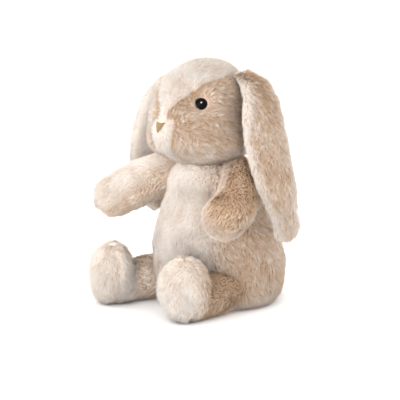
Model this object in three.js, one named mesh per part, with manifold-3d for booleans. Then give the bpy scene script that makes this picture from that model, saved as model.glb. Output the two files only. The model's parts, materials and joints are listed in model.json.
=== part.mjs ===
// A sitting plush rabbit with long hanging ears, in millimetres, +Z up, facing -Y.
// The origin is on the floor, at the middle of the flat seat. The rabbit's left side is +X.
// Every fabric piece is drawn at its woven backing, and the pile stands proud of that.
import * as THREE from 'three';
import Module from 'manifold-3d';
import { mergeVertices } from 'three/addons/utils/BufferGeometryUtils.js';

const wasm = await Module();
wasm.setup();

// ---------------------------------------------------------------- driving dimensions
const SKIN = 1.6;            // thickness of the plush backing cloth
const SEAM = 0.4;            // gap between two pieces that are sewn together
const PACKING = 1.4;         // gap between the stuffing and the cloth around it
const CLEAR = 1.5;           // gap between a limb's root and what it moves in
const ROUGH = 1.08;          // how far an eight-sided tube stands outside a round one
const FAR = 300;             // reach of the blocks that cut whole pieces

// How finely the rounded shapes are drawn.
const TORSO_COLUMNS = 20;
const TORSO_ROWS = 11;
const HEAD_COLUMNS = 18;
const HEAD_ROWS = 12;
const LIMB_SIDES = 12;
const ROUGH_SIDES = 8;
const SWEEP_STEPS = 3;

// Torso: a pear, [height, radius] from the seat to the neck.
const TORSO_PROFILE = [
  [0, 48], [3, 54], [10, 59], [22, 62], [34, 63], [50, 62], [70, 58.5], [90, 51.5],
  [108, 44], [122, 37.5], [132, 30.5], [138, 23.5], [141, 13], [142, 0],
];
const TORSO_HEIGHT = 142;
const TORSO_DEPTH = 0.98;    // depth of the pear over its width
const TORSO_LEAN = -11;      // how far the top stands forward of the seat
const BASE_RIM = 4;          // height where the base panel meets the panels above it
const BIB = [[36, 0], [43, 30], [41, 65], [34, 100], [24, 128], [14, 150]];
const BIB_BACK = -4;         // the front panel ends at this depth under the arms

// Neck: a ball of stuffing that the head turns and nods on.
const NECK = [0, -13, 143];
const NECK_R = 17;

// Head: a round cranium and low jowls melted together, and a muzzle pushed forward.
const HEAD = [0, -20, 189];
const CRANIUM = { centre: [0, 3, 4], half: [45, 45, 46] };
const JOWLS = { centre: [0, -2, -12], half: [48, 45, 34] };
const MELT = 8;              // power of the smooth union
const MUZZLE = { push: 6, width: 20, height: 18, z: -8 };
const CROWN_STRIP = [
  [5, -90], [5, -48], [13, -39], [22.5, -30], [26.5, -20], [30, -6], [28, 20], [15, 60],
];
const CHIN_STRIP = [[13, -90], [13, -51], [10, -45], [7, -34], [6, 60]];
const CHIN_Z = -3;           // the crown ends in front at this height, and the chin starts

// Eyes: domed safety eyes on posts, each held by a washer inside the head.
const EYE_TOWARDS = [36, -34, 15];
const EYE_R = 6.2;
const EYE_HEIGHT = 5.2;
const POST = { radius: 1.8, length: 9 };
const WASHER = { inner: 2.3, outer: 7.5, top: -3.5, bottom: -4.9 };

// Nose: a small stitched triangle, point down.
const NOSE = { half: 4.6, top: -4.4, bottom: -14.5, thick: 1.2 };

// Ears: flat lobes, [distance from the root, half width], each a plush back and a lining.
const EAR_WIDTH = [
  [0, 10], [8, 15], [28, 21], [60, 24], [100, 24.5], [128, 21.5], [150, 13.5],
];
const EAR_THICK = 4;
const EAR_GAP = 1.0;         // gap between the back of an ear and its lining

// Each ear's middle line, its width direction at the root and where it hangs, and which
// face of it looks away from the head. Turning about the root that way lifts the ear.
const EARS = {
  left: {
    path: [
      [30, 1, 226], [43, 3, 222], [58, 1, 208], [68.5, -4, 182],
      [79, -4, 147], [84, 5, 109], [78, 19, 79],
    ],
    root: [0.45, -0.85, -0.25],
    hang: [-0.2, -0.98, 0],
    outward: 1,
  },
  right: {
    path: [
      [-30, -1, 225], [-47, -5, 220], [-66, -12, 206], [-79, -16, 181],
      [-86, -19, 150], [-88, -18, 118], [-84, -13, 90],
    ],
    root: [-0.45, -0.85, -0.25],
    hang: [-0.05, -1, 0],
    outward: -1,
  },
};
const EAR_SWEEP = [0, 110];

// Arms: short stuffed tubes with round paws, [distance from the shoulder, radius]. The
// seam between each arm's pale inner panel and its tan outer one lies in a plane.
const ARM_GIRTH = [[0, 15], [15, 17.5], [35, 19.5], [60, 20.5], [74, 19]];
const ARMS = {
  left: {
    path: [[38, -9, 134], [51, -18, 120], [63, -34, 106], [66, -50, 99]],
    axis: [-0.79, -0.61, 0],
    sweep: [-8, 30],
    seam: [67, -48, 104],
    pale: [-0.72, 0.19, -0.66],
  },
  right: {
    path: [[-38, -9, 134], [-46, -30, 126], [-57, -55, 116], [-67, -79, 105]],
    axis: [-0.93, 0.37, 0],
    sweep: [-40, 15],
    seam: [-50, -54, 117],
    pale: [-0.3, -0.47, 0.83],
  },
};

// Legs: thick stuffed tubes lying forward, each ending in a foot with its sole upright.
const LEG_GIRTH = [[0, 17], [20, 19.5], [80, 18.5]];
const LEGS = {
  left: { hip: [43, -20, 23.5], foot: [46, -82.5, 31.4], splay: 8 },
  right: { hip: [-43, -20, 25], foot: [-55, -92, 31.4], splay: -12 },
};
const FOOT_HALF = [27, 18.5, 31];
const SOLE_DEPTH = -4;      // the sole panel is the foot in front of this
const LEG_SWEEP = [-30, 30];

// Tail and weight.
const TAIL = { at: [0, 65, 30], radius: 13 };
const PELLETS = { radius: 34, height: 17, bottom: 2.4 };

// ---------------------------------------------------------------- materials
const cloth = (color) => new THREE.MeshStandardMaterial({ color, roughness: 0.95, metalness: 0 });
const TAN = cloth(0xc9b197);
const CREAM = cloth(0xebdfd2);
const LINING = cloth(0xf6f0e8);
const FILLING = cloth(0xf5f4f0);
const THREAD = cloth(0xa9825a);
const SACK = cloth(0xddd6c8);
const GLOSS = new THREE.MeshStandardMaterial({ color: 0x0b0908, roughness: 0.08, metalness: 0 });
const PLASTIC = new THREE.MeshStandardMaterial({ color: 0xe8e6e0, roughness: 0.45, metalness: 0 });

// ---------------------------------------------------------------- solids from geometry
const vec = (a) => new THREE.Vector3(...a);
const SIDES = ['left', 'right'];

// Joins the doubled vertices along a shape's seam, so that its mesh is closed.
function closed(geometry) {
  geometry.deleteAttribute('normal');
  geometry.deleteAttribute('uv');
  return mergeVertices(geometry, 1e-4);
}

function solid(geometry) {
  return new wasm.Manifold(new wasm.Mesh({
    numProp: 3,
    vertProperties: new Float32Array(geometry.attributes.position.array),
    triVerts: new Uint32Array(geometry.index.array),
  }));
}

function warp(geometry, move) {
  const position = geometry.attributes.position;
  const point = new THREE.Vector3();
  for (let i = 0; i < position.count; i += 1) {
    point.fromBufferAttribute(position, i);
    move(point);
    position.setXYZ(i, point.x, point.y, point.z);
  }
  return geometry;
}

function ball(centre, radius, columns = 14, rows = 8) {
  const geometry = closed(new THREE.SphereGeometry(radius, columns, rows));
  return solid(geometry.translate(...centre));
}

function block(low, high) {
  const size = high.map((value, i) => value - low[i]);
  const geometry = closed(new THREE.BoxGeometry(...size));
  return solid(geometry.translate(...high.map((value, i) => (value + low[i]) / 2)));
}

function spinFromUp(direction) {
  const up = new THREE.Vector3(0, 0, 1);
  return new THREE.Quaternion().setFromUnitVectors(up, direction.clone().normalize());
}

// A half space: everything on the side of the point that the direction names.
function halfSpace(point, direction) {
  const geometry = closed(new THREE.BoxGeometry(2 * FAR, 2 * FAR, FAR));
  geometry.translate(0, 0, FAR / 2);
  geometry.applyQuaternion(spinFromUp(vec(direction)));
  return solid(geometry.translate(...point));
}

function turned(geometry, pivot, axis, degrees) {
  const spin = new THREE.Quaternion();
  spin.setFromAxisAngle(vec(axis).normalize(), THREE.MathUtils.degToRad(degrees));
  const centre = vec(pivot);
  return warp(geometry.clone(), (p) => p.sub(centre).applyQuaternion(spin).add(centre));
}

// The space that a geometry passes through as it turns from one angle to another.
function swept(geometry, pivot, axis, [from, to], steps) {
  let space = solid(turned(geometry, pivot, axis, from));
  for (let i = 1; i <= steps; i += 1) {
    const degrees = from + ((to - from) * i) / steps;
    space = space.add(solid(turned(geometry, pivot, axis, degrees)));
  }
  return space;
}

// Reads a [position, value] table, straight between its rows.
function level(table, at) {
  if (at <= table[0][0]) return table[0][1];
  for (let i = 1; i < table.length; i += 1) {
    const [x0, y0] = table[i - 1];
    const [x1, y1] = table[i];
    if (at <= x1) return THREE.MathUtils.lerp(y0, y1, (at - x0) / (x1 - x0));
  }
  return table[table.length - 1][1];
}

// ---------------------------------------------------------------- soft shapes
function torsoShape(inset) {
  const curve = new THREE.SplineCurve(TORSO_PROFILE.map(([z, r]) => new THREE.Vector2(r, z)));
  const scale = (TORSO_HEIGHT - 2 * inset) / TORSO_HEIGHT;
  const side = curve.getPoints(TORSO_ROWS).slice(0, -1);
  const section = [
    new THREE.Vector2(0, inset),
    ...side.map((p) => new THREE.Vector2(Math.max(p.x - inset, 1), inset + p.y * scale)),
    new THREE.Vector2(0, TORSO_HEIGHT - inset),
  ];
  const geometry = closed(new THREE.LatheGeometry(section, TORSO_COLUMNS));
  geometry.rotateX(Math.PI / 2);
  return warp(geometry, (p) => {
    p.y = p.y * TORSO_DEPTH + TORSO_LEAN * (Math.max(p.z, 0) / TORSO_HEIGHT) ** 1.5;
  });
}

function rayToEllipsoid(direction, { centre, half }, inset) {
  const size = vec(half).addScalar(-inset);
  const d = direction.clone().divide(size);
  const c = vec(centre).divide(size);
  const a = d.lengthSq();
  const b = d.dot(c);
  return (b + Math.sqrt(b * b - a * (c.lengthSq() - 1))) / a;
}

// The head's surface in a direction from its centre.
function headPoint(direction, inset) {
  const reaches = [CRANIUM, JOWLS].map((lobe) => rayToEllipsoid(direction, lobe, inset));
  const melted = reaches.reduce((sum, r) => sum + r ** MELT, 0) ** (1 / MELT);
  const point = direction.clone().multiplyScalar(melted * 2 ** (-0.25 / MELT));
  if (point.y < 0) {
    const offside = (point.x / MUZZLE.width) ** 2 + ((point.z - MUZZLE.z) / MUZZLE.height) ** 2;
    point.y -= MUZZLE.push * Math.exp(-offside);
  }
  return point;
}

function headShape(inset) {
  const geometry = closed(new THREE.SphereGeometry(1, HEAD_COLUMNS, HEAD_ROWS));
  geometry.rotateX(Math.PI / 2);
  const centre = vec(HEAD);
  return warp(geometry, (p) => p.copy(headPoint(p.clone().normalize(), inset)).add(centre));
}

function smoothPath(points) {
  const curve = new THREE.CatmullRomCurve3(points.map(vec), false, 'centripetal');
  curve.arcLengthDivisions = 400;
  return curve;
}

// A closed tube through [distance, half width, half thickness] stations along a curve.
// Its width direction turns from one vector at the root to another where it hangs.
function tubeShape(curve, stations, rootWide, hangWide, columns, press = (p) => p) {
  const length = curve.getLength();
  const profile = stations.map(([at, wide]) => new THREE.Vector2(wide, at));
  const geometry = closed(new THREE.LatheGeometry(profile, columns));
  const from = vec(rootWide);
  const to = vec(hangWide);
  return warp(geometry, (p) => {
    const u = THREE.MathUtils.clamp(p.y / length, 0, 1);
    const [, half, thick] = stations.find(([at]) => Math.abs(at - p.y) < 1e-3);
    const flatness = half > 0 ? thick / half : 1;
    const tangent = curve.getTangentAt(u);
    const middle = curve.getPointAt(u).addScaledVector(tangent, p.y - u * length);
    const wide = from.clone().lerp(to, Math.min(1, u * 2.5));
    const across = new THREE.Vector3().crossVectors(wide, tangent).normalize();
    wide.crossVectors(tangent, across).normalize();
    const section = press(new THREE.Vector2(p.x, p.z * flatness), half);
    p.copy(middle).addScaledVector(wide, section.x).addScaledVector(across, section.y);
  });
}

// Stations of a round tube with round ends, its radius read from a table.
function roundStations(length, girth, inset, steps, capRows) {
  const first = level(girth, 0) - inset;
  const last = level(girth, length) - inset;
  const stations = [];
  for (let i = 0; i < capRows; i += 1) {
    const angle = (i / capRows) * (Math.PI / 2);
    stations.push([-first * Math.cos(angle), first * Math.sin(angle)]);
  }
  for (let i = 0; i <= steps; i += 1) {
    const at = (length * i) / steps;
    stations.push([at, level(girth, at) - inset]);
  }
  for (let i = capRows - 1; i >= 0; i -= 1) {
    const angle = (i / capRows) * (Math.PI / 2);
    stations.push([length + last * Math.cos(angle), last * Math.sin(angle)]);
  }
  return stations.map(([at, radius]) => [at, radius, radius]);
}

function armShape(side, inset, rough = false) {
  const curve = smoothPath(ARMS[side].path);
  const girth = rough ? ARM_GIRTH.map(([at, r]) => [at, r * ROUGH]) : ARM_GIRTH;
  const stations = roundStations(curve.getLength(), girth, inset, rough ? 2 : 4, rough ? 2 : 3);
  return tubeShape(curve, stations, [0, 0, 1], [0, 0, 1], rough ? ROUGH_SIDES : LIMB_SIDES);
}

function legTube(side, inset, rough = false) {
  const { hip, foot } = LEGS[side];
  const ankle = [foot[0], foot[1], LEG_GIRTH[2][1] + 1];
  const knee = hip.map((value, i) => (value + ankle[i]) / 2);
  const curve = smoothPath([hip, knee, ankle]);
  const girth = rough ? LEG_GIRTH.map(([at, r]) => [at, r * ROUGH]) : LEG_GIRTH;
  const stations = roundStations(curve.getLength(), girth, inset, 3, rough ? 2 : 3);
  return tubeShape(curve, stations, [0, 0, 1], [0, 0, 1], rough ? ROUGH_SIDES : LIMB_SIDES);
}

function footShape(side, inset) {
  const { foot, splay } = LEGS[side];
  const geometry = closed(new THREE.SphereGeometry(1, 14, 8));
  warp(geometry, (p) => p.multiply(vec(FOOT_HALF).addScalar(-inset)));
  geometry.rotateZ(THREE.MathUtils.degToRad(splay));
  return geometry.translate(...foot);
}

// ---------------------------------------------------------------- the assembly
const rabbit = new THREE.Group();
rabbit.name = 'plush_rabbit';

function add(name, body, material) {
  const mesh = body.getMesh();
  const geometry = new THREE.BufferGeometry();
  geometry.setAttribute('position', new THREE.BufferAttribute(mesh.vertProperties, 3));
  geometry.setIndex(new THREE.BufferAttribute(mesh.triVerts, 1));
  geometry.computeVertexNormals();
  const node = new THREE.Mesh(geometry, material);
  node.name = name;
  rabbit.add(node);
}

const neckSocket = ball(NECK, NECK_R + 0.6);

// The room that a limb's root needs as it swings, from a plain eight-sided tube.
function legSweep(side) {
  const { hip } = LEGS[side];
  return swept(legTube(side, -CLEAR, true), hip, [-1, 0, 0], LEG_SWEEP, SWEEP_STEPS);
}

function armSweep(side) {
  const { path, axis, sweep } = ARMS[side];
  return swept(armShape(side, -CLEAR, true), path[0], axis, sweep, SWEEP_STEPS);
}

// A flat outline from [half width, position] points, the same on both sides.
function outlineShape(outline, grow) {
  const points = outline.map(([half, at]) => new THREE.Vector2(half + grow, at));
  const mirrored = [...points].reverse().map((p) => new THREE.Vector2(-p.x, p.y));
  return new THREE.Shape([...points, ...mirrored]);
}

function torsoPieces() {
  let moving = neckSocket;
  for (const side of SIDES) moving = moving.add(legSweep(side)).add(armSweep(side));
  const shell = solid(torsoShape(0)).subtract(solid(torsoShape(SKIN))).subtract(moving);
  const bib = (grow, back) => {
    const outline = outlineShape(BIB, grow);
    const geometry = closed(new THREE.ExtrudeGeometry(outline, { depth: FAR, bevelEnabled: false }));
    geometry.rotateX(Math.PI / 2);
    return solid(geometry.translate(0, back, 0));
  };
  const above = halfSpace([0, 0, BASE_RIM + SEAM], [0, 0, 1]);
  const sides = shell.intersect(above).subtract(bib(SEAM, BIB_BACK + SEAM));
  add('body_base', shell.intersect(halfSpace([0, 0, BASE_RIM], [0, 0, -1])), TAN);
  add('body_front', shell.intersect(above).intersect(bib(0, BIB_BACK)), CREAM);
  add('body_side_left', sides.intersect(halfSpace([SEAM / 2, 0, 0], [1, 0, 0])), TAN);
  add('body_side_right', sides.intersect(halfSpace([-SEAM / 2, 0, 0], [-1, 0, 0])), TAN);

  const sack = (grow) => {
    const { radius, height, bottom } = PELLETS;
    const profile = [[0, 0], [0.7, 0], [0.95, 0.15], [1, 0.45], [0.9, 0.8], [0.6, 1], [0, 1.05]];
    const tall = height + 2 * grow;
    const section = profile.map(([r, z]) => [r * (radius + grow), bottom - grow + z * tall]);
    return solid(turnedPart(section, 16));
  };
  const filling = solid(torsoShape(SKIN + PACKING)).subtract(moving);
  add('body_stuffing', filling.subtract(sack(0.5)), FILLING);
  add('pellet_bag', sack(0), SACK);

  const outside = solid(torsoShape(-SEAM));
  const { at, radius } = TAIL;
  add('tail_cover', ball(at, radius).subtract(ball(at, radius - SKIN)).subtract(outside), CREAM);
  add('tail_stuffing', ball(at, radius - SKIN - PACKING).subtract(outside), FILLING);
}

// The ear's outline is one flat tube: the whole of it, or only the layer on one face.
function earShape(side, inset, face = 0, rough = false) {
  const { path, root, hang } = EARS[side];
  const curve = smoothPath(path);
  const length = curve.getLength();
  const steps = rough ? 6 : 9;
  const stations = [[inset - EAR_THICK, 0.5, 0.3]];
  for (let i = 0; i <= steps; i += 1) {
    const at = (length * i) / steps;
    stations.push([at, level(EAR_WIDTH, at) - inset, EAR_THICK - inset]);
  }
  stations.push([length + 6 - inset, 7 - inset, EAR_THICK * 0.8 - inset]);
  stations.unshift([inset - EAR_THICK - 0.01, 0, 0]);
  stations.push([length + 9 - inset, 0, 0]);
  const press = (p) => {
    if (face !== 0) p.y = face * (EAR_GAP / 2 + Math.max(0, face * p.y));
    return p;
  };
  return tubeShape(curve, stations, root, hang, rough ? ROUGH_SIDES : LIMB_SIDES, press);
}

function earAxis(side) {
  return vec(EARS[side].root).multiplyScalar(EARS[side].outward).toArray();
}

// Moves a shape drawn along +Z at the origin to stand on the head where an eye is.
function atEye(geometry, side) {
  const towards = vec(EYE_TOWARDS).normalize();
  if (side === 'right') towards.x = -towards.x;
  const spot = headPoint(towards, 0).add(vec(HEAD));
  return geometry.applyQuaternion(spinFromUp(towards)).translate(spot.x, spot.y, spot.z);
}

function turnedPart(profile, columns) {
  const section = profile.map(([r, z]) => new THREE.Vector2(r, z));
  return closed(new THREE.LatheGeometry(section, columns)).rotateX(Math.PI / 2);
}

function eye(side) {
  const { radius, length } = POST;
  const profile = [
    [0, -length], [radius, -length], [radius, 0.4], [EYE_R * 0.93, 0.4], [EYE_R, 1.2],
    [EYE_R * 0.93, EYE_HEIGHT * 0.55], [EYE_R * 0.72, EYE_HEIGHT * 0.82],
    [EYE_R * 0.4, EYE_HEIGHT * 0.96], [0, EYE_HEIGHT],
  ];
  return solid(atEye(turnedPart(profile, 16), side));
}

function washer(side) {
  const { inner, outer, top, bottom } = WASHER;
  const profile = [[inner, bottom], [outer, bottom], [outer, top], [inner, top], [inner, bottom]];
  return solid(atEye(turnedPart(profile, 12), side));
}

function eyeHole(side, radius, bottom, top) {
  return solid(atEye(turnedPart([[0, bottom], [radius, bottom], [radius, top], [0, top]], 12), side));
}

function extrudeUp(outline, low) {
  const shape = outlineShape(outline, 0);
  const geometry = closed(new THREE.ExtrudeGeometry(shape, { depth: FAR, bevelEnabled: false }));
  return solid(geometry.translate(0, HEAD[1], low));
}

function headPieces() {
  let spared = neckSocket;
  for (const side of SIDES) {
    const root = EARS[side].path[0];
    const ear = swept(earShape(side, -CLEAR, 0, true), root, earAxis(side), EAR_SWEEP, SWEEP_STEPS);
    spared = spared.add(ear).add(eyeHole(side, POST.radius + 0.3, -12, 2));
  }
  const shell = solid(headShape(0)).subtract(solid(headShape(SKIN))).subtract(spared);
  const strip = (outline, grow) => extrudeUp(outline.map(([half, y]) => [half + grow, y]), 0);
  const chinTop = HEAD[2] + CHIN_Z;
  const chinBack = HEAD[1] + 4;
  const front = block([-FAR, -FAR, -FAR], [FAR, chinBack, chinTop]);
  const notFront = block([-FAR, -FAR, -FAR], [FAR, chinBack + SEAM, chinTop + SEAM]);
  add('head_crown', shell.intersect(strip(CROWN_STRIP, 0)).subtract(notFront), CREAM);
  add('head_chin', shell.intersect(strip(CHIN_STRIP, 0)).intersect(front), CREAM);
  const crownRoom = strip(CROWN_STRIP, SEAM).subtract(front);
  const chinRoom = strip(CHIN_STRIP, SEAM).intersect(notFront);
  const cheeks = shell.subtract(crownRoom).subtract(chinRoom);
  add('head_cheek_left', cheeks.intersect(halfSpace([0, 0, 0], [1, 0, 0])), TAN);
  add('head_cheek_right', cheeks.intersect(halfSpace([0, 0, 0], [-1, 0, 0])), TAN);

  let filling = solid(headShape(SKIN + PACKING)).subtract(spared);
  for (const side of SIDES) {
    filling = filling.subtract(eyeHole(side, WASHER.outer + 0.5, WASHER.bottom - 0.5, 2));
    add(`eye_${side}`, eye(side), GLOSS);
    add(`eye_washer_${side}`, washer(side), PLASTIC);
  }
  add('head_stuffing', filling, FILLING);

  const { half, top, bottom, thick } = NOSE;
  const triangle = new THREE.Shape();
  triangle.moveTo(0, bottom);
  triangle.quadraticCurveTo(half * 0.5, (top + bottom) / 2, half, top - 1);
  triangle.quadraticCurveTo(half, top, half - 1.5, top);
  triangle.quadraticCurveTo(0, top - 1, 1.5 - half, top);
  triangle.quadraticCurveTo(-half, top, -half, top - 1);
  triangle.quadraticCurveTo(-half * 0.5, (top + bottom) / 2, 0, bottom);
  const along = { depth: FAR, bevelEnabled: false, curveSegments: 3 };
  const prism = closed(new THREE.ExtrudeGeometry(triangle, along));
  prism.rotateX(Math.PI / 2).translate(0, HEAD[1], HEAD[2]);
  const patch = solid(headShape(-SEAM - thick)).subtract(solid(headShape(-SEAM)));
  add('nose_stitching', patch.intersect(solid(prism)), THREAD);
}

function earPieces(side) {
  const { outward } = EARS[side];
  add(`ear_outer_${side}`, solid(earShape(side, 0, outward)), TAN);
  add(`ear_lining_${side}`, solid(earShape(side, 0, -outward)), LINING);
}

function armPieces(side) {
  const { seam, pale } = ARMS[side];
  const shell = solid(armShape(side, 0)).subtract(solid(armShape(side, SKIN)));
  const inward = vec(pale).normalize();
  const offset = (sign) => vec(seam).addScaledVector(inward, (sign * SEAM) / 2).toArray();
  const outward = inward.clone().negate().toArray();
  add(`arm_inner_${side}`, shell.intersect(halfSpace(offset(1), pale)), CREAM);
  add(`arm_outer_${side}`, shell.intersect(halfSpace(offset(-1), outward)), TAN);
  add(`arm_stuffing_${side}`, solid(armShape(side, SKIN + PACKING)), FILLING);
}

function legPieces(side) {
  const { foot, hip, splay } = LEGS[side];
  const whole = (inset) => solid(legTube(side, inset)).add(solid(footShape(side, inset)));
  const shell = whole(0).subtract(whole(SKIN));
  const angle = THREE.MathUtils.degToRad(splay);
  const ahead = [Math.sin(angle), -Math.cos(angle), 0];
  const behind = ahead.map((value) => -value);
  const solePlane = (gap) => vec(foot).addScaledVector(vec(ahead), -SOLE_DEPTH - gap).toArray();
  const along = new THREE.Vector3(foot[1] - hip[1], hip[0] - foot[0], 0).normalize();
  const outward = along.multiplyScalar(side === 'left' ? -1 : 1);
  const seamAt = (gap) => vec(foot).addScaledVector(outward, gap).toArray();
  const upper = shell.intersect(halfSpace(solePlane(SEAM), behind));
  add(`sole_${side}`, shell.intersect(halfSpace(solePlane(0), ahead)), CREAM);
  add(`leg_outer_${side}`, upper.intersect(halfSpace(seamAt(SEAM / 2), outward.toArray())), TAN);
  const inward = outward.clone().negate().toArray();
  add(`leg_inner_${side}`, upper.intersect(halfSpace(seamAt(-SEAM / 2), inward)), TAN);
  add(`leg_stuffing_${side}`, whole(SKIN + PACKING), FILLING);
}

torsoPieces();
add('neck_stuffing', ball(NECK, NECK_R - 0.3), FILLING);
headPieces();
for (const side of SIDES) {
  earPieces(side);
  armPieces(side);
  legPieces(side);
}

export default rabbit;
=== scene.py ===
"""A sitting plush rabbit: soft panels with a combed two-tone pile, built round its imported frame."""

import json
import math
from itertools import product

import bmesh
import bpy
import numpy as np
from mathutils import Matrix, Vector
from mathutils.bvhtree import BVHTree
from mathutils.kdtree import KDTree


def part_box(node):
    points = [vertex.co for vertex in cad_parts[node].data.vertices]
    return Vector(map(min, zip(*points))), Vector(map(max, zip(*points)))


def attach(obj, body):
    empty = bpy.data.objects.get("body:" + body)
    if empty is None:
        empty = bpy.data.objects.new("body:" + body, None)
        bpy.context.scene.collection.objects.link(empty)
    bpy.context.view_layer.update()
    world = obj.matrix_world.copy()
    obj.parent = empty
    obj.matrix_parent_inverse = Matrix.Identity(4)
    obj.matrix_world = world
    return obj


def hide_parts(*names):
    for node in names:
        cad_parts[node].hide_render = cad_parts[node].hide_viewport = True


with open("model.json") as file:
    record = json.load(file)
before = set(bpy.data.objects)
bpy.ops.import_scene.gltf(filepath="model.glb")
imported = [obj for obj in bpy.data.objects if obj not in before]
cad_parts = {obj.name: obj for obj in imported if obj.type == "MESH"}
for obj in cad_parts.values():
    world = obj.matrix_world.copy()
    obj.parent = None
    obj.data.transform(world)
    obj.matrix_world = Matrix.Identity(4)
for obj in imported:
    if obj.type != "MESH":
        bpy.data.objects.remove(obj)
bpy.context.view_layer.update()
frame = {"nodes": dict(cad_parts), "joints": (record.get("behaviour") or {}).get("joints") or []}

MM = 0.001
SIDES = ("left", "right")
UP = np.array([0.0, 0.0, 1.0])

# ------------------------------------------------------------------ camera, light and floor
VIEW_AZIMUTH = 50.0
VIEW_ELEVATION = 10.5
CAMERA_DISTANCE = 1.55
CAMERA_LENS = 139.5
CAMERA_AIM = Vector((-0.0260, -0.0030, 0.0969))
SKY_COLOUR = (1.0, 0.995, 0.99, 1.0)
SKY_STRENGTH = 1.68
FLOOR_HALF_SIZE = 6.0
FLOOR_COLOUR = (0.96, 0.96, 0.96, 1.0)


def from_angles(azimuth, elevation):
    """The way from the rabbit to something round it: azimuth 0 is in front, 90 is at its left."""
    a = math.radians(azimuth)
    e = math.radians(elevation)
    return Vector((math.sin(a) * math.cos(e), -math.cos(a) * math.cos(e), math.sin(e)))


def add_object(name, data):
    """Puts a mesh, a camera or a lamp in the scene."""
    obj = bpy.data.objects.new(name, data)
    bpy.context.scene.collection.objects.link(obj)
    return obj


def face_rabbit(obj, azimuth, elevation, distance):
    """Places a camera or a lamp round the rabbit, and points it there."""
    towards = from_angles(azimuth, elevation)
    obj.location = CAMERA_AIM + towards * distance
    obj.rotation_euler = towards.to_track_quat("Z", "Y").to_euler()


def make_camera():
    data = bpy.data.cameras.new("camera")
    data.lens = CAMERA_LENS
    camera = add_object("camera", data)
    face_rabbit(camera, VIEW_AZIMUTH, VIEW_ELEVATION, CAMERA_DISTANCE)
    bpy.context.scene.camera = camera


def make_lamp(name, azimuth, elevation, distance, size, power):
    """A round soft lamp, of the given width in metres and power in watts, that faces the rabbit."""
    data = bpy.data.lights.new(name, "AREA")
    data.shape = "DISK"
    data.size = size
    data.energy = power
    lamp = add_object(name, data)
    face_rabbit(lamp, azimuth, elevation, distance)
    return lamp


def make_world():
    world = bpy.data.worlds.new("studio")
    world.use_nodes = True
    background = world.node_tree.nodes["Background"]
    background.inputs["Color"].default_value = SKY_COLOUR
    background.inputs["Strength"].default_value = SKY_STRENGTH
    bpy.context.scene.world = world


def make_floor():
    mesh = bpy.data.meshes.new("floor")
    half = FLOOR_HALF_SIZE
    corners = [(-half, -half, 0), (half, -half, 0), (half, half, 0), (-half, half, 0)]
    mesh.from_pydata(corners, [], [(0, 1, 2, 3)])
    floor = add_object("floor", mesh)
    material = bpy.data.materials.new("studio_floor")
    material.use_nodes = True
    shader = material.node_tree.nodes["Principled BSDF"]
    shader.inputs["Base Color"].default_value = FLOOR_COLOUR
    shader.inputs["Roughness"].default_value = 0.9
    mesh.materials.append(material)


# ------------------------------------------------------------------ numbers from meshes
def mesh_arrays(mesh):
    """A mesh's points and its triangles as arrays."""
    mesh.calc_loop_triangles()
    points = np.zeros(len(mesh.vertices) * 3)
    mesh.vertices.foreach_get("co", points)
    triangles = np.zeros(len(mesh.loop_triangles) * 3, np.int64)
    mesh.loop_triangles.foreach_get("vertices", triangles)
    return points.reshape(-1, 3), triangles.reshape(-1, 3)


def unit(vectors):
    """The same directions, each of length 1."""
    return vectors / np.maximum(np.linalg.norm(vectors, axis=-1, keepdims=True), 1e-9)


def point_normals(points, triangles):
    """Smooth normals at the points, weighted by area."""
    a, b, c = (points[triangles[:, i]] for i in range(3))
    faces = np.cross(b - a, c - a)
    total = np.zeros_like(points)
    for i in range(3):
        np.add.at(total, triangles[:, i], faces)
    return unit(total)


HASH_OF_CELL = (73856093, 19349663, 83492791)
HASH_OF_SEED = 2654435
HASH_MIX = 1274126177


def noise(points, size, seed):
    """Smooth value noise from -1 to 1, with cells of the given size in metres."""
    place = points / size
    cell = np.floor(place).astype(np.int64)
    part = place - cell
    part = part * part * (3 - 2 * part)
    total = np.zeros(len(points))
    for corner in product((0, 1), repeat=3):
        c = cell + np.array(corner)
        code = np.bitwise_xor.reduce(c * np.array(HASH_OF_CELL), axis=1) ^ (seed * HASH_OF_SEED)
        code = (code ^ (code >> 13)) * HASH_MIX
        value = ((code ^ (code >> 16)) & 0xFFFF) / 32767.5 - 1
        share = np.ones(len(points))
        for axis in range(3):
            share *= part[:, axis] if corner[axis] else 1 - part[:, axis]
        total += value * share
    return total


def layered_noise(points, layers):
    """Noise of several sizes together; each layer is the size of its cells, its height and its seed."""
    return sum(height * noise(points, size, seed) for size, height, seed in layers)


def smooth_step(low, high, value):
    """Runs smoothly from 0 at low to 1 at high; low may be the larger."""
    t = np.clip((value - low) / (high - low), 0, 1)
    return t * t * (3 - 2 * t)


# ------------------------------------------------------------------ soft shapes
SETTLE = 1.0 * MM
SETTLE_STEPS = 20
STUFFING_PRESSURE = 6.0
COVER_MASS = 0.3
COVER_STRETCH = 0.04


def mesh_object(name, points, faces):
    mesh = bpy.data.meshes.new(name)
    mesh.from_pydata([tuple(p) for p in points], [], [tuple(int(i) for i in f) for f in faces])
    return add_object(name, mesh)


def hull_of(name, nodes):
    """The tight skin round some CAD nodes."""
    form = bmesh.new()
    for node in nodes:
        for vertex in frame["nodes"][node].data.vertices:
            form.verts.new(vertex.co)
    bmesh.ops.convex_hull(form, input=form.verts)
    spare = [v for v in form.verts if not v.link_faces]
    bmesh.ops.delete(form, geom=spare, context="VERTS")
    mesh = bpy.data.meshes.new(name)
    form.to_mesh(mesh)
    form.free()
    return add_object(name, mesh)


def join_of(name, nodes):
    """Some CAD nodes' surfaces together, as they are."""
    parts = [mesh_arrays(frame["nodes"][node].data) for node in nodes]
    starts = np.cumsum([0] + [len(points) for points, _ in parts[:-1]])
    points = np.concatenate([points for points, _ in parts])
    faces = np.concatenate([faces + start for (_, faces), start in zip(parts, starts)])
    return mesh_object(name, points, faces)


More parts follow.
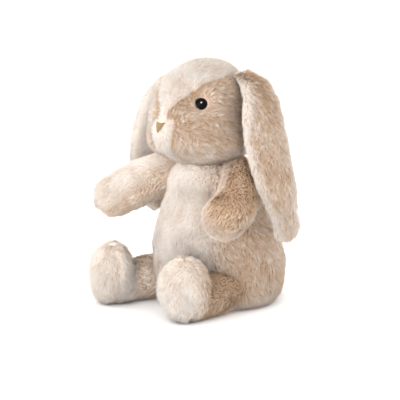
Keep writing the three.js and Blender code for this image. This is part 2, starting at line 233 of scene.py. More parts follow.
def apply_modifier(obj, modifier):
    bpy.context.view_layer.objects.active = obj
    bpy.ops.object.modifier_apply(modifier=modifier.name)


def remesh(obj, voxel, smoothing):
    """Rebuilds a shape from even faces, and rounds it."""
    modifier = obj.modifiers.new("remesh", "REMESH")
    modifier.mode = "VOXEL"
    modifier.voxel_size = voxel
    apply_modifier(obj, modifier)
    modifier = obj.modifiers.new("smooth", "SMOOTH")
    modifier.factor = 0.5
    modifier.iterations = smoothing
    apply_modifier(obj, modifier)


def subdivide(obj):
    modifier = obj.modifiers.new("subdivide", "SUBSURF")
    modifier.levels = 1
    apply_modifier(obj, modifier)


def set_points(obj, points):
    obj.data.vertices.foreach_set("co", np.ascontiguousarray(points, np.float64).ravel())
    obj.data.update()


def grow(obj, distance):
    """Moves every point of a closed shape out along its normal."""
    points, triangles = mesh_arrays(obj.data)
    set_points(obj, points + point_normals(points, triangles) * distance)


def puff(obj, swell):
    """Swells a stuffed shape, then lets its cover settle under pressure by cloth simulation."""
    grow(obj, swell)
    before, _ = mesh_arrays(obj.data)
    modifier = obj.modifiers.new("stuffed", "CLOTH")
    cloth = modifier.settings
    cloth.quality = 4
    cloth.mass = COVER_MASS
    cloth.use_pressure = True
    cloth.uniform_pressure_force = STUFFING_PRESSURE
    cloth.shrink_min = -COVER_STRETCH
    cloth.effector_weights.gravity = 0
    scene = bpy.context.scene
    for step in range(1, SETTLE_STEPS + 1):
        scene.frame_set(step)
    shape = obj.evaluated_get(bpy.context.evaluated_depsgraph_get())
    after, _ = mesh_arrays(shape.data)
    obj.modifiers.remove(modifier)
    scene.frame_set(1)
    move = after - before
    length = np.linalg.norm(move, axis=1, keepdims=True)
    set_points(obj, before + move * np.minimum(1, SETTLE / np.maximum(length, 1e-9)))


def soften(obj, voxel, smoothing, swell):
    """Turns a hard CAD shape into a stuffed one."""
    remesh(obj, voxel, smoothing)
    puff(obj, swell)
    subdivide(obj)


# ------------------------------------------------------------------ panels of cloth
CLOTH = 1.4 * MM
CLOTH_CLEARANCE = 0.3 * MM
SEAM_DEPTH = 1.3 * MM
SEAM_WIDTH = 3.0 * MM
FAR_FROM_SEAM = 1.0
LUMPS = ((26 * MM, 1.1 * MM, 11), (11 * MM, 0.6 * MM, 12))


def panel_labels(centres, nodes):
    """For each point, which of the CAD panels lies nearest."""
    nearest = np.full(len(centres), np.inf)
    label = np.zeros(len(centres), np.int64)
    for index, node in enumerate(nodes):
        points, triangles = mesh_arrays(frame["nodes"][node].data)
        tree = BVHTree.FromPolygons(points.tolist(), triangles.tolist())
        for i, centre in enumerate(centres):
            distance = tree.find_nearest(centre)[3]
            if distance < nearest[i]:
                nearest[i] = distance
                label[i] = index
    return label


def kd_tree(points):
    """A tree that finds the nearest of some points."""
    tree = KDTree(len(points))
    for i, point in enumerate(points):
        tree.insert(point, i)
    tree.balance()
    return tree


def split_panels(base, nodes, sculpt=None):
    """Cuts a soft shape into its sewn panels, pulled in at the seams and a little lumpy.

    The result is {node: (points, triangles, normals, distance to a seam)}.
    """
    points, triangles = mesh_arrays(base.data)
    label = panel_labels(points[triangles].mean(1), nodes)
    owners = [np.zeros(len(points), bool) for _ in nodes]
    for index in range(len(nodes)):
        owners[index][triangles[label == index].ravel()] = True
    on_seam = np.sum(owners, 0) > 1
    from_seam = np.full(len(points), FAR_FROM_SEAM)
    if on_seam.any():
        tree = kd_tree(points[on_seam])
        from_seam = np.array([tree.find(point)[2] for point in points])
    normals = point_normals(points, triangles)
    out = layered_noise(points, LUMPS) - SEAM_DEPTH * np.exp(-((from_seam / SEAM_WIDTH) ** 2))
    points = points + normals * out[:, None]
    if sculpt:
        points = sculpt(points, normals)
    points[:, 2] = np.maximum(points[:, 2], CLOTH_CLEARANCE)
    normals = point_normals(points, triangles)
    panels = {}
    for index, node in enumerate(nodes):
        mine = triangles[label == index]
        used, renumbered = np.unique(mine, return_inverse=True)
        panels[node] = (points[used], renumbered.reshape(-1, 3), normals[used], from_seam[used])
    bpy.data.objects.remove(base)
    return panels


def thick_cloth(points, triangles, normals):
    """A sheet with its inner face and its cut edges, as one closed panel of cloth."""
    count = len(points)
    edges = np.concatenate([triangles[:, [0, 1]], triangles[:, [1, 2]], triangles[:, [2, 0]]])
    code = edges[:, 0] * count + edges[:, 1]
    back = edges[:, 1] * count + edges[:, 0]
    rim = edges[~np.isin(code, back)]
    inner = points - normals * CLOTH
    inner[:, 2] = np.maximum(inner[:, 2], CLOTH_CLEARANCE)
    first = np.column_stack([rim[:, 1], rim[:, 0], rim[:, 0] + count])
    second = np.column_stack([rim[:, 1], rim[:, 0] + count, rim[:, 1] + count])
    faces = np.concatenate([triangles, triangles[:, ::-1] + count, first, second])
    return np.concatenate([points, inner]), faces


# ------------------------------------------------------------------ pile
# Layers of noise are (size of the cells, height, seed); spreads, strays and twists are shares or radians.
TUFTS_PER_AREA = 2.3 / MM**2
LOCK_SIZE = 2.2 * MM
TUFT_RADIUS = 0.38 * MM
TUFT_FLATNESS = 0.4
TUFT_SUNK = 0.4 * MM
TUFT_STRAY = 0.22
TUFT_TWIST = 0.15
TUFT_SHADE = 0.5
LOCK_STRAY = 0.4
LOCK_REACH = 1.1
LENGTH_SPREAD = 0.25
STAND_SPREAD = 0.5
WIDTH_SPREAD = 0.25
LENGTH_WAVES = ((9 * MM, 0.15, 23),)
SWIRLS = ((17 * MM, 1.0, 21), (7 * MM, 0.7, 22))
MOTTLING = ((24 * MM, 0.2, 31), (8 * MM, 0.16, 32))
BALD_BELOW = 0.05
SEAM_LENGTH = 0.75
SEAM_LENGTH_WIDTH = 4 * MM
PILE_CLEARANCE = 0.2 * MM
CELL_ROOM = 1.15


def tangent(vectors, normals):
    """The directions laid flat on the surface."""
    return unit(vectors - normals * np.sum(vectors * normals, axis=1, keepdims=True))


def turn_about(vectors, normals, angles):
    """Turns directions that lie flat on the surface."""
    side = np.cross(normals, vectors)
    return vectors * np.cos(angles)[:, None] + side * np.sin(angles)[:, None]


def scatter(points, triangles, normals, from_seam, density, rng):
    """Evenly spread roots over a panel, with the normal and the distance to a seam at each."""
    a, b, c = (points[triangles[:, i]] for i in range(3))
    area = np.linalg.norm(np.cross(b - a, c - a), axis=1) / 2
    count = int(area.sum() * density)
    steps = (np.arange(count) + rng.random(count)) / count * area.sum()
    face = np.minimum(np.searchsorted(np.cumsum(area), steps), len(area) - 1)
    u, v = rng.random((2, count))
    flip = u + v > 1
    u[flip], v[flip] = 1 - u[flip], 1 - v[flip]
    share = np.column_stack([1 - u - v, u, v])[:, :, None]
    corners = triangles[face]
    roots = (points[corners] * share).sum(1)
    return roots, unit((normals[corners] * share).sum(1)), (from_seam[corners] * share[:, :, 0]).sum(1)


def combed(roots, normals, look):
    """The direction that the pile lies in, with swirls."""
    lie = tangent(look["flow"](roots), normals)
    return turn_about(lie, normals, look["swirl"] * layered_noise(roots, SWIRLS))


def about_one(rng, count, spread):
    """Random factors from 1 - spread to 1 + spread."""
    return 1 - spread + 2 * spread * rng.random(count)


def grow_pile(panel, look, rng):
    """Tufts of pile over a panel, as slim three-sided spikes gathered in locks.

    The result is their points and faces, and each point's depth, 0 at a root and 1 at a tip, and tone.
    """
    roots, normals, from_seam = scatter(*panel, TUFTS_PER_AREA * look["thick"], rng)
    short = look["short"](roots)
    keep = short > BALD_BELOW
    roots, normals, from_seam, short = roots[keep], normals[keep], from_seam[keep], short[keep]
    count = len(roots)
    lie = combed(roots, normals, look)
    beside_seam = smooth_step(0, SEAM_LENGTH_WIDTH, from_seam)
    reach = look["length"] * short * (SEAM_LENGTH + (1 - SEAM_LENGTH) * beside_seam)
    reach = reach * about_one(rng, count, LENGTH_SPREAD) * (1 + layered_noise(roots, LENGTH_WAVES))
    stand = look["stand"] * about_one(rng, count, STAND_SPREAD)

    def tip_of(along, long):
        return roots + (normals * stand[:, None] + along * look["lean"]) * long[:, None]

    tips = tip_of(turn_about(lie, normals, rng.normal(0, TUFT_STRAY, count)), reach)
    _, centres = np.unique(np.round(roots / LOCK_SIZE).astype(np.int64), axis=0, return_index=True)
    locks = kd_tree(roots[centres])
    mine = centres[[locks.find(root)[1] for root in roots]]
    lock_tips = tip_of(turn_about(lie, normals, rng.normal(0, LOCK_STRAY, count)), reach * LOCK_REACH)
    tips = tips + (lock_tips[mine] - tips) * look["clump"]

    axis = unit(tips - roots)
    across = unit(np.cross(axis, normals) + TUFT_TWIST * rng.normal(0, 1, (count, 3)))
    across = unit(across - axis * np.sum(across * axis, axis=1, keepdims=True))
    over = np.cross(across, axis)
    wide = TUFT_RADIUS * about_one(rng, count, WIDTH_SPREAD)[:, None]
    corners = []
    for k in range(3):
        angle = 2 * math.pi * k / 3 + math.pi / 2
        spoke = across * math.cos(angle) + over * math.sin(angle) * TUFT_FLATNESS
        corners.append(roots - normals * TUFT_SUNK + spoke * wide)
    points = np.stack([*corners, tips], 1).reshape(-1, 3)
    points[:, 2] = np.maximum(points[:, 2], PILE_CLEARANCE)
    faces = np.arange(count)[:, None, None] * 4 + np.array([[1, 0, 3], [2, 1, 3], [0, 2, 3], [0, 1, 2]])
    depth = np.tile([0.0, 0.0, 0.0, 1.0], count)
    edge = np.exp(-((from_seam / look["fade"]) ** 2))
    tone = tone_at(roots, look) * (1 - edge) + look["edge"] * edge
    shade = rng.normal(0, 1, count)[mine] + TUFT_SHADE * rng.normal(0, 1, count)
    tone = tone + look["streak"] * shade
    return points, faces.reshape(-1, 3), depth, np.repeat(tone, 4)


def tone_at(points, look):
    """How pale the pile is, from 0 for tan to 1 for cream, with large and small mottling."""
    return look["tone"](points) + layered_noise(points, MOTTLING)


def tuft_cells(count, grid):
    """Texture coordinates that give each tuft a cell of its own, its three sides on top of each other."""
    cell = np.arange(count)
    corner = np.column_stack([cell % grid, cell // grid]) / grid
    side = [[0.1, 0.1], [0.9, 0.1], [0.5, 0.95]]
    foot = [[0.1, 0.1], [0.9, 0.1], [0.5, 0.2]]
    pattern = np.array([side, side, side, foot])
    return (corner[:, None, None, :] + pattern[None] / grid).reshape(-1, 2)


def box_cells(points, faces, low):
    """Texture coordinates for the cloth under the pile, in the strip above the tufts' cells."""
    spread = points[faces].reshape(-1, 3)
    size = np.maximum(spread.max(0) - spread.min(0), 1e-6)
    flat = (spread - spread.min(0)) / size
    return np.column_stack([flat[:, 0] * 0.5 + flat[:, 1] * 0.5, low + (1 - low) * flat[:, 2]])


def build_plush(name, panel, look, rng):
    """One plush panel: the cloth and its pile in a single mesh."""
    cloth_points, cloth_faces = thick_cloth(*panel[:3])
    pile_points, pile_faces, depth, tone = grow_pile(panel, look, rng)
    points = np.concatenate([cloth_points, pile_points])
    faces = np.concatenate([cloth_faces, pile_faces + len(cloth_points)])
    mesh = bpy.data.meshes.new(name)
    mesh.vertices.add(len(points))
    mesh.vertices.foreach_set("co", points.ravel())
    mesh.loops.add(len(faces) * 3)
    mesh.loops.foreach_set("vertex_index", faces.ravel().astype(np.int32))
    mesh.polygons.add(len(faces))
    mesh.polygons.foreach_set("loop_start", (np.arange(len(faces)) * 3).astype(np.int32))
    mesh.polygons.foreach_set("use_smooth", np.ones(len(faces), bool))
    tufts = len(pile_points) // 4
    grid = math.ceil(math.sqrt(tufts * CELL_ROOM)) + 1
    layer = mesh.uv_layers.new(name="OFBake")
    cells = tuft_cells(tufts, grid)
    strip = box_cells(cloth_points, cloth_faces, math.ceil(tufts / grid) / grid)
    layer.data.foreach_set("uv", np.concatenate([strip, cells]).astype(np.float32).ravel())
    for title, values in (
        ("pile_depth", np.concatenate([np.zeros(len(cloth_points)), depth])),
        ("pile_tone", np.concatenate([tone_at(cloth_points, look), tone])),
    ):
        attribute = mesh.attributes.new(title, "FLOAT", "POINT")
        attribute.data.foreach_set("value", values.astype(np.float32))
    mesh.update()
    mesh.validate()
    return add_object(name, mesh)


# ------------------------------------------------------------------ materials
def srgb(red, green, blue):
    """A colour given by its everyday values, 0 to 255, as the shader takes it."""
    def linear(value):
        value /= 255
        return value / 12.92 if value <= 0.04045 else ((value + 0.055) / 1.055) ** 2.4

    return (linear(red), linear(green), linear(blue), 1.0)


TAN_ROOT = srgb(154, 112, 78)
TAN_TIP = srgb(216, 184, 152)
CREAM_ROOT = srgb(239, 225, 213)
CREAM_TIP = srgb(250, 242, 234)
SHEEN_TINT = (1.0, 0.97, 0.93, 1.0)
EYE_BLACK = (srgb(1, 1, 1), srgb(5, 3, 3))
THREAD_BROWN = (srgb(100, 72, 38), srgb(160, 126, 78))
FIBRE_WHITE = (srgb(226, 214, 200), srgb(252, 249, 244))
SACK_COTTON = (srgb(226, 219, 204), srgb(202, 193, 176))
WASHER_WHITE = (srgb(226, 224, 216), srgb(240, 238, 232))


def new_material(name):
    material = bpy.data.materials.new(name)
    material.use_nodes = True
    nodes = material.node_tree.nodes
    return material, nodes, material.node_tree.links, nodes["Principled BSDF"]


def mix_colour(nodes, links, factor, a, b):
    """Runs from a to b, each a colour or another node's output, as the factor goes from 0 to 1."""
    mix = nodes.new("ShaderNodeMix")
    mix.data_type = "RGBA"
    links.new(factor, mix.inputs[0])
    for value, socket in ((a, mix.inputs[6]), (b, mix.inputs[7])):
        if isinstance(value, tuple):
            socket.default_value = value
        else:
            links.new(value, socket)
    return mix.outputs[2]


def add_texture(nodes, links, kind, **settings):
    """A procedural texture laid out in the object's own metres."""
    place = nodes.new("ShaderNodeTexCoord")
    texture = nodes.new(kind)
    for title, value in settings.items():
        texture.inputs[title].default_value = value
    links.new(place.outputs["Object"], texture.inputs["Vector"])
    return texture


def read_attribute(nodes, name):
    attribute = nodes.new("ShaderNodeAttribute")
    attribute.attribute_name = name
    return attribute.outputs["Fac"]


def plush_material():
    """Pile that runs from tan to cream by its tone, and from dark to light from root to tip."""
    material, nodes, links, shader = new_material("plush_pile")
    depth = read_attribute(nodes, "pile_depth")
    tone = read_attribute(nodes, "pile_tone")
    clamp = nodes.new("ShaderNodeClamp")
    links.new(tone, clamp.inputs["Value"])
    roots = mix_colour(nodes, links, clamp.outputs[0], TAN_ROOT, CREAM_ROOT)
    tips = mix_colour(nodes, links, clamp.outputs[0], TAN_TIP, CREAM_TIP)
    rise = nodes.new("ShaderNodeMapRange")
    rise.interpolation_type = "SMOOTHSTEP"
    rise.inputs["From Min"].default_value = 0.0
    rise.inputs["From Max"].default_value = 0.8
    links.new(depth, rise.inputs["Value"])
    links.new(mix_colour(nodes, links, rise.outputs["Result"], roots, tips), shader.inputs["Base Color"])
    shader.inputs["Roughness"].default_value = 0.95
    shader.inputs["Specular IOR Level"].default_value = 0.15
    shader.inputs["Sheen Weight"].default_value = 0.25
    shader.inputs["Sheen Roughness"].default_value = 0.45
    shader.inputs["Sheen Tint"].default_value = SHEEN_TINT
    return material


def eye_material():
    """Polished black plastic with a faint brown haze."""
    material, nodes, links, shader = new_material("eye_gloss")
    haze = add_texture(nodes, links, "ShaderNodeTexNoise", Scale=350)
    links.new(mix_colour(nodes, links, haze.outputs["Fac"], *EYE_BLACK), shader.inputs["Base Color"])
    shader.inputs["Roughness"].default_value = 0.12
    shader.inputs["Specular IOR Level"].default_value = 0.05
    return material


def thread_material():
    """Twisted embroidery thread."""
    material, nodes, links, shader = new_material("nose_thread")
    twist = add_texture(nodes, links, "ShaderNodeTexWave", Scale=900, Distortion=2.0)
    links.new(mix_colour(nodes, links, twist.outputs["Fac"], *THREAD_BROWN), shader.inputs["Base Color"])
    shader.inputs["Roughness"].default_value = 0.6
    shader.inputs["Sheen Weight"].default_value = 0.3
    return material


def fibre_material():
    """Loose white polyester fibre."""
    material, nodes, links, shader = new_material("polyester_fibre")
    tangle = add_texture(nodes, links, "ShaderNodeTexNoise", Scale=260, Detail=6, Distortion=2.5)
    links.new(mix_colour(nodes, links, tangle.outputs["Fac"], *FIBRE_WHITE), shader.inputs["Base Color"])
    bump = nodes.new("ShaderNodeBump")
    bump.inputs["Strength"].default_value = 0.6
    bump.inputs["Distance"].default_value = 1.0 * MM
    links.new(tangle.outputs["Fac"], bump.inputs["Height"])
    links.new(bump.outputs["Normal"], shader.inputs["Normal"])
    shader.inputs["Roughness"].default_value = 0.95
    return material


def sack_material():
    """Plain woven cotton round the pellets."""
    material, nodes, links, shader = new_material("pellet_sack")
    light, dark = SACK_COTTON
    weave = add_texture(nodes, links, "ShaderNodeTexChecker", Scale=1400, Color1=light, Color2=dark)
    links.new(weave.outputs["Color"], shader.inputs["Base Color"])
    shader.inputs["Roughness"].default_value = 0.9
    return material


def washer_material():
    """Milky moulded plastic with faint flow marks."""
    material, nodes, links, shader = new_material("washer_plastic")
    marks = add_texture(nodes, links, "ShaderNodeTexNoise", Scale=120)
    links.new(mix_colour(nodes, links, marks.outputs["Fac"], *WASHER_WHITE), shader.inputs["Base Color"])
    shader.inputs["Roughness"].default_value = 0.4
    return material


# ------------------------------------------------------------------ how the pile lies and shortens
def centre_of(node):
    low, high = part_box(node)
    return np.array((low + high) / 2)


def joint_place(name):
    for joint in frame["joints"]:
        if joint["name"] == name:
            return np.array(joint["pos_m"])
    raise ValueError(f"no joint is named {name}")


EYES = {side: centre_of(f"eye_{side}") for side in SIDES}
NOSE = centre_of("nose_stitching")
HEAD = centre_of("head_stuffing")
EYE_CLEARING = 6.8 * MM


def flow_from(source, drop=0.0):
    """Pile that lies away from a point and, with a drop, more downwards."""
    return lambda points: unit(points - source) - UP * drop


def flow_along(direction):
    """Pile that lies one way all over."""
    return lambda points: np.tile(np.array(direction, float), (len(points), 1))


def even_length(points):
    return np.ones(len(points))


def even_tone(tone):
    return lambda points: np.full(len(points), float(tone))


def short_on_face(points):
    """No pile under the eyes, and shorter pile round them and round the nose."""
    short = np.ones(len(points))
    for eye in EYES.values():
        away = np.linalg.norm(points - eye, axis=1)
        short *= np.where(away < EYE_CLEARING, 0.0, 0.4 + 0.6 * smooth_step(7 * MM, 12 * MM, away))
    away = np.linalg.norm(points - NOSE, axis=1)
    return short * (0.7 + 0.3 * smooth_step(4 * MM, 12 * MM, away))


def coat(
    tone, flow, edge=0.6, fade=5.0, length=6.6, stand=0.36, lean=0.95, swirl=0.8,
    short=even_length, clump=0.25, streak=0.08, thick=1.0,
):
    """How a panel's pile looks.

    tone is 0 for tan to 1 for cream, and edge is the tone at the seams, which fades in over so many mm.
    flow is the way that the pile lies, length its length in mm, stand and lean how far it rises and lies
    over, and swirl how far it wanders. short shortens it in places, clump gathers it in locks, streak
    varies the tone from lock to lock, and thick is how dense it is.
    """
    return {
        "tone": tone if callable(tone) else even_tone(tone),
        "edge": edge,
        "fade": fade * MM,
        "flow": flow,
        "length": length * MM,
        "stand": stand,
        "lean": lean,
        "swirl": swirl,
        "short": short,
        "clump": clump,
        "streak": streak,
        "thick": thick,
    }


# ------------------------------------------------------------------ the plush pieces
PLUSH = plush_material()


def finish_piece(obj, body, nodes, material):
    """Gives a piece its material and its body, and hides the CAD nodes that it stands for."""
    obj.data.materials.append(material)
    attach(obj, body)
    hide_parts(*nodes)


def lay_plush(panels, looks, body, rng):
    """Makes each panel's piece, all with the one plush material. looks holds each node's coat and the
    name of a material slot, which is not used.
    """
    for node, panel in panels.items():
        look, slot_name = looks[node]
        piece = build_plush(f"plush_{node}", panel, look, rng)
        finish_piece(piece, body, [node], PLUSH)


JOWL_SPREAD = 0.2
JOWL_TOP = -4 * MM
JOWL_FOOT = -38 * MM
SOCKET_DEPTH = 3.0 * MM


def head_flow(points):
    """Away from the nose, more to the sides than down."""
    return unit(points - NOSE) * np.array([1.0, 1.0, 0.55]) - UP * 0.25


def full_jowls(points, normals):
    """Widens the head low down, where the stuffing settles, and swells the face round the eyes."""
    from_centre = points - HEAD
    wide = 1 + JOWL_SPREAD * smooth_step(JOWL_TOP, JOWL_FOOT, from_centre[:, 2])
    from_centre[:, :2] *= wide[:, None]
    points = HEAD + from_centre
    for eye in EYES.values():
        away = np.linalg.norm(points - eye, axis=1)
        swell = smooth_step(5 * MM, 12 * MM, away) * smooth_step(34 * MM, 16 * MM, away)
        points = points + normals * (SOCKET_DEPTH * swell)[:, None]
    return points


def cheek_tone_and_painted_light(points):
    """Tan, paler behind the eye and low down, and painted paler on the right, which is painted light on
    the far cheek.
    """
    tone = np.full(len(points), 0.22)
    for eye in EYES.values():
        behind = eye + np.array([0.0, 8 * MM, -8 * MM])
        tone += 0.3 * np.exp(-((np.linalg.norm(points - behind, axis=1) / (13 * MM)) ** 2))
    tone += 0.35 * smooth_step(-16 * MM, -38 * MM, points[:, 2] - HEAD[2])
    # Painted light: the far right cheek is painted paler than the near left one.
    return tone + 0.3 * smooth_step(-4 * MM, -16 * MM, points[:, 0])


def make_head(rng):
    nodes = ["head_crown", "head_chin", "head_cheek_left", "head_cheek_right"]
    base = hull_of("head_base", nodes)
    soften(base, voxel=4.5 * MM, smoothing=4, swell=1.2 * MM)
    panels = split_panels(base, nodes, full_jowls)
    pale = coat(0.92, head_flow, edge=0.8, fade=3.0, short=short_on_face)
    # Painted shade: the cheeks' pile is painted darker along their seams, standing in for the shade in
    # the seam creases.
    cheek = coat(cheek_tone_and_painted_light, head_flow, edge=-0.3, fade=3.2, short=short_on_face, clump=0.4, streak=0.22)
    looks = {
        "head_crown": (pale, "plush_cream"),
        "head_chin": (pale, "plush_cream"),
        "head_cheek_left": (cheek, "plush_tan"),
        "head_cheek_right": (cheek, "plush_tan"),
    }
    lay_plush(panels, looks, "head", rng)
    make_nose([panels[node] for node in nodes])


SHOULDER_FILL = 3.5 * MM
SHOULDER_FOOT = 108 * MM
SHOULDER_TOP = 126 * MM


def full_shoulders(points, normals):
    """Fills the torso out under the head, so that no gap shows beside the neck."""
    high = smooth_step(SHOULDER_FOOT, SHOULDER_TOP, points[:, 2])
    return points + normals * (SHOULDER_FILL * high)[:, None]


def belly_tone(points):
    """Cream above, tan towards the base."""
    return 0.45 + 0.5 * smooth_step(25 * MM, 75 * MM, points[:, 2])


def make_torso(rng):
    nodes = ["body_base", "body_front", "body_side_left", "body_side_right"]
    base = hull_of("torso_base", nodes)
    soften(base, voxel=5 * MM, smoothing=4, swell=1.6 * MM)
    panels = split_panels(base, nodes, full_shoulders)
    down = flow_along((0, 0, -1))
    flank = coat(0.2, down, edge=0.6, fade=9.0, streak=0.2, clump=0.4)
    looks = {
        "body_base": (coat(0.4, flow_along((0, 1, 0)), edge=0.4, length=3.0, thick=0.4), "plush_tan"),
        "body_front": (coat(belly_tone, down, edge=0.72, fade=7.0), "plush_cream"),
        "body_side_left": (flank, "plush_tan"),
        "body_side_right": (flank, "plush_tan"),
    }
    lay_plush(panels, looks, "torso", rng)


def make_tail(rng):
    base = hull_of("tail_base", ["tail_cover"])
    soften(base, voxel=3 * MM, smoothing=3, swell=0.7 * MM)
    panel = split_panels(base, ["tail_cover"])["tail_cover"]
    look = coat(0.95, flow_from(centre_of("body_stuffing")), edge=0.95, length=7.5, stand=0.8, lean=0.6)
    piece = build_plush("plush_tail", panel, look, rng)
    finish_piece(piece, "torso", ["tail_cover"], PLUSH)


# Each ear's outer tone, with painted light: the near left ear is painted darker as painted shade, and the
# far right ear paler as painted light.
EAR_TONE_WITH_PAINTED_SHADE_AND_LIGHT = {"left": 0.3, "right": 0.8}
PLEAT_DEPTH = 3.0 * MM
PLEAT_WIDTH = 3.6 * MM
PLEAT_REACH = (8 * MM, 42 * MM)
PLEAT_SLICE = 9 * MM


def pleat_of(node, root):
    """Points down the middle of an ear's upper end, where its root is pleated."""
    points, _ = mesh_arrays(frame["nodes"][node].data)
    away = np.linalg.norm(points - root, axis=1)
    middles = []
    for reach in np.linspace(*PLEAT_REACH, 5):
        near = np.abs(away - reach) < PLEAT_SLICE
        middles.append(points[near].mean(0))
    middles = np.array(middles)
    steps = np.linspace(0, len(middles) - 1, 30)
    return np.column_stack([np.interp(steps, range(len(middles)), middles[:, axis]) for axis in range(3)])


def make_ear(side, rng):
    nodes = [f"ear_outer_{side}", f"ear_lining_{side}"]
    base = join_of(f"ear_base_{side}", nodes)
    soften(base, voxel=2.6 * MM, smoothing=5, swell=0.9 * MM)
    root = joint_place(f"ear_{side}_lift")
    pleat = pleat_of(nodes[0], root)

    def near_pleat(points, width):
        """1 in the pleat, and nearly 0 more than two widths from it."""
        away = np.min(np.linalg.norm(points[:, None] - pleat[None], axis=2), axis=1)
        return np.exp(-((away / width) ** 2))

    def press_pleat(points, normals):
        return points - normals * (PLEAT_DEPTH * near_pleat(points, PLEAT_WIDTH))[:, None]

    # The ear's tone, with painted shade: the pile is painted darker along the pressed pleat, where its
    # crease would lie in shade.
    def outer_tone_and_pleat_shade(points):
        return EAR_TONE_WITH_PAINTED_SHADE_AND_LIGHT[side] - 0.5 * near_pleat(points, 1.6 * PLEAT_WIDTH)

    panels = split_panels(base, nodes, press_pleat)
    flow = flow_from(root, drop=0.6)
    outer = coat(outer_tone_and_pleat_shade, flow, edge=1.2, fade=7.0, length=6.2, swirl=0.4, streak=0.22, clump=0.35)
    lining = coat(1.1, flow, edge=1.1, length=4.5, swirl=0.3)
    looks = {nodes[0]: (outer, "plush_tan"), nodes[1]: (lining, "ear_lining")}
    lay_plush(panels, looks, f"ear_{side}", rng)


# Tones of each side's paws, arms and legs, with painted light: the near left ones are painted darker as
# painted shade, and the far right ones paler as painted light.
PAW_TONE_WITH_PAINTED_SHADE_AND_LIGHT = {"left": 0.65, "right": 0.8}
ARM_TONE_WITH_PAINTED_SHADE_AND_LIGHT = {"left": 0.0, "right": 0.32}
LEG_TONE_WITH_PAINTED_SHADE_AND_LIGHT = {"left": 0.02, "right": 0.36}
LIMB_SWELL = 3.0 * MM


def make_limb(side, kind, nodes, voxel, looks, rng):
    body = f"{kind}_{side}"
    base = join_of(f"{body}_base", [f"{kind}_stuffing_{side}"])
    soften(base, voxel=voxel, smoothing=4, swell=LIMB_SWELL)
    lay_plush(split_panels(base, nodes), looks, body, rng)


def make_arm(side, rng):
    nodes = [f"arm_inner_{side}", f"arm_outer_{side}"]
    flow = flow_from(joint_place(f"arm_{side}_raise"))
    looks = {
        nodes[0]: (coat(PAW_TONE_WITH_PAINTED_SHADE_AND_LIGHT[side], flow, edge=0.45, fade=9.0), "plush_cream"),
        nodes[1]: (coat(ARM_TONE_WITH_PAINTED_SHADE_AND_LIGHT[side], flow, edge=0.4, fade=6.0, streak=0.22, clump=0.4), "plush_tan"),
    }
    make_limb(side, "arm", nodes, 3.6 * MM, looks, rng)


def make_leg(side, rng):
    nodes = [f"sole_{side}", f"leg_outer_{side}", f"leg_inner_{side}"]
    hip = joint_place(f"leg_{side}_raise")
    behind_sole = float(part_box(nodes[0])[1][1])

    def leg_flow(points):
        """Along the leg, then down round the foot."""
        at_foot = smooth_step(24 * MM, 4 * MM, points[:, 1] - behind_sole)[:, None]
        return unit(points - hip) * (1 - at_foot) + np.array([0.0, 0.25, -1.0]) * at_foot

    def leg_tone(points):
        """Pale round the foot, tan along the leg."""
        return LEG_TONE_WITH_PAINTED_SHADE_AND_LIGHT[side] + 0.65 * smooth_step(22 * MM, 0, points[:, 1] - behind_sole)

    looks = {
        nodes[0]: (coat(0.88, flow_along((0, 0, -1)), edge=0.75, fade=8.0, stand=0.4), "plush_cream"),
        nodes[1]: (coat(leg_tone, leg_flow, edge=0.5, fade=1.0, streak=0.22, clump=0.45), "plush_tan"),
        nodes[2]: (coat(leg_tone, leg_flow, edge=0.5, fade=1.0, streak=0.18, clump=0.4), "plush_tan"),
    }
    make_limb(side, "leg", nodes, 4 * MM, looks, rng)


# ------------------------------------------------------------------ the eyes
# The eye's outline from the end of its post to the middle of its dome: radius and height in mm.
EYE_PROFILE = (
    (0.0, -9.0), (1.8, -9.0), (1.8, 0.2), (5.5, 0.2), (6.0, 0.5), (6.2, 1.1), (6.05, 1.9), (5.6, 2.8),
    (4.9, 3.6), (3.9, 4.3), (2.7, 4.8), (1.4, 5.1), (0.0, 5.2),
)
EYE_COLUMNS = 40
EYE_TOP_LAYER = 0.05 * MM
EYE_FOOT_LAYER = 0.25 * MM


def smooth_faces(obj):
    for polygon in obj.data.polygons:
        polygon.use_smooth = True


def make_eye(side, material):
    """A domed safety eye on its post, turned smooth about the line that its CAD solid stands on."""
    points, _ = mesh_arrays(frame["nodes"][f"eye_{side}"].data)
    away = np.linalg.norm(points - HEAD, axis=1)
    top = points[away > away.max() - EYE_TOP_LAYER].mean(0)
    foot = points[away < away.min() + EYE_FOOT_LAYER].mean(0)
    axis = unit(top - foot)
    across = unit(np.cross(axis, UP))
    over = np.cross(axis, across)
    ring = np.arange(EYE_COLUMNS) * 2 * math.pi / EYE_COLUMNS
    dome_height = EYE_PROFILE[-1][1]
    rows = []
    for radius, height in EYE_PROFILE[1:-1]:
        centre = top + axis * (height - dome_height) * MM
        spokes = np.outer(np.cos(ring), across) + np.outer(np.sin(ring), over)
        rows.append(centre + spokes * radius * MM)
    post_end = top + axis * (EYE_PROFILE[0][1] - dome_height) * MM
    points = np.concatenate([*rows, [post_end, top]])
    faces = []
    last = len(rows) - 1
    for k in range(EYE_COLUMNS):
        n = (k + 1) % EYE_COLUMNS
        for row in range(last):
            a = row * EYE_COLUMNS
            faces.append((a + k, a + n, a + EYE_COLUMNS + n, a + EYE_COLUMNS + k))
        faces.append((n, k, len(points) - 2))
        faces.append((last * EYE_COLUMNS + k, last * EYE_COLUMNS + n, len(points) - 1))
    eye = mesh_object(f"glossy_eye_{side}", points, faces)
    smooth_faces(eye)
    finish_piece(eye, "head", [f"eye_{side}"], material)
    return eye


def make_eyes():
    """Both eyes, with a lamp of their own that puts the small bright glint on them."""
    gloss = eye_material()
    glint = make_lamp("glint", azimuth=50, elevation=42, distance=1.5, size=0.45, power=120)
    lit = bpy.data.collections.new("eyes_only")
    glint.light_linking.receiver_collection = lit
    for side in SIDES:
        lit.objects.link(make_eye(side, gloss))


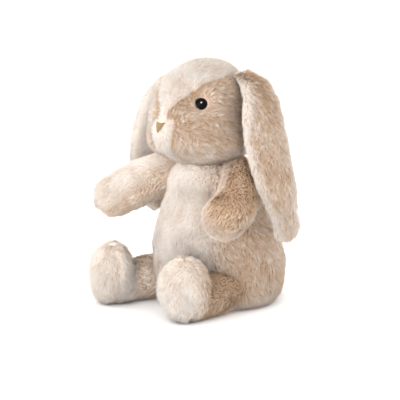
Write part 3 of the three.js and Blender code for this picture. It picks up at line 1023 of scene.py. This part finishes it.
# ------------------------------------------------------------------ the nose
NOSE_HALF = 5.6 * MM
NOSE_TALL = 9.0 * MM
NOSE_ROWS = 13
NOSE_TIP_HALF = 0.5 * MM
NOSE_TAPER = 0.8
STITCH_STEPS = 9
STITCH_DIP = 0.8 * MM
STITCH_CROWN = 1.2 * MM
STITCH_LIFT = 1.5 * MM
THREAD_RADIUS = 0.55 * MM
THREAD_SIDES = 6
THREAD_END = 0.35


def tube(path, radius):
    """A closed thread along some points, narrower at its ends."""
    path = np.array(path)
    along = unit(np.gradient(path, axis=0))
    side = unit(np.cross(along, UP + 0.01))
    over = np.cross(side, along)
    points = []
    for i, centre in enumerate(path):
        narrow = THREAD_END if i in (0, len(path) - 1) else 1.0
        for k in range(THREAD_SIDES):
            angle = 2 * math.pi * k / THREAD_SIDES
            spoke = side[i] * math.cos(angle) + over[i] * math.sin(angle)
            points.append(centre + spoke * radius * narrow)
    faces = []
    for i in range(len(path) - 1):
        a = i * THREAD_SIDES
        b = a + THREAD_SIDES
        for k in range(THREAD_SIDES):
            n = (k + 1) % THREAD_SIDES
            faces.append((a + k, b + k, b + n, a + n))
    last = (len(path) - 1) * THREAD_SIDES
    faces.append(tuple(range(THREAD_SIDES)))
    faces.append(tuple(reversed(range(last, last + THREAD_SIDES))))
    return points, faces


def make_nose(panels):
    """A triangle of satin stitches, point down, laid over the muzzle."""
    starts = np.cumsum([0] + [len(panel[0]) for panel in panels[:-1]])
    points = np.concatenate([panel[0] for panel in panels])
    triangles = np.concatenate([panel[1] + start for panel, start in zip(panels, starts)])
    tree = BVHTree.FromPolygons(points.tolist(), triangles.tolist())

    def on_muzzle(x, z, height):
        found = tree.ray_cast(Vector((x, NOSE[1] - 50 * MM, z)), Vector((0, 1, 0)))
        place = found[0] if found[0] else Vector((x, NOSE[1], z))
        return np.array(place) - np.array([0, 1, 0]) * height

    points = []
    faces = []
    top = NOSE[2] + NOSE_TALL / 2
    for down in np.linspace(0, 1, NOSE_ROWS):
        half = NOSE_HALF * (1 - down) ** NOSE_TAPER + NOSE_TIP_HALF
        dip = STITCH_DIP * (1 - down)
        path = []
        for step in np.linspace(-1, 1, STITCH_STEPS):
            bow = 1 - step * step
            lift = STITCH_CROWN * math.sqrt(bow) + STITCH_LIFT
            path.append(on_muzzle(half * step, top - NOSE_TALL * down - dip * bow, lift))
        thread, sides = tube(path, THREAD_RADIUS)
        faces += [tuple(i + len(points) for i in face) for face in sides]
        points += thread
    nose = mesh_object("nose_stitches", points, faces)
    smooth_faces(nose)
    finish_piece(nose, "head", ["nose_stitching"], thread_material())


# ------------------------------------------------------------------ the pieces inside the covers
def dress_inner_nodes():
    """Materials for the CAD solids that stay as they are."""
    fibre = fibre_material()
    washer = washer_material()
    inner = {"pellet_bag": sack_material()}
    for name in ("body", "head", "neck", "tail"):
        inner[f"{name}_stuffing"] = fibre
    for side in SIDES:
        inner[f"arm_stuffing_{side}"] = fibre
        inner[f"leg_stuffing_{side}"] = fibre
        inner[f"eye_washer_{side}"] = washer
    for name, material in inner.items():
        for slot in frame["nodes"][name].material_slots:
            slot.material = material


# ------------------------------------------------------------------ the scene
make_camera()
make_world()
make_lamp("key", azimuth=15, elevation=14, distance=1.7, size=1.4, power=16)
make_floor()
bpy.context.scene.view_settings.view_transform = "Standard"

make_head(np.random.default_rng(1))
make_torso(np.random.default_rng(2))
make_tail(np.random.default_rng(3))
for number, side in enumerate(SIDES):
    make_ear(side, np.random.default_rng(10 + number))
    make_arm(side, np.random.default_rng(20 + number))
    make_leg(side, np.random.default_rng(30 + number))
make_eyes()
dress_inner_nodes()
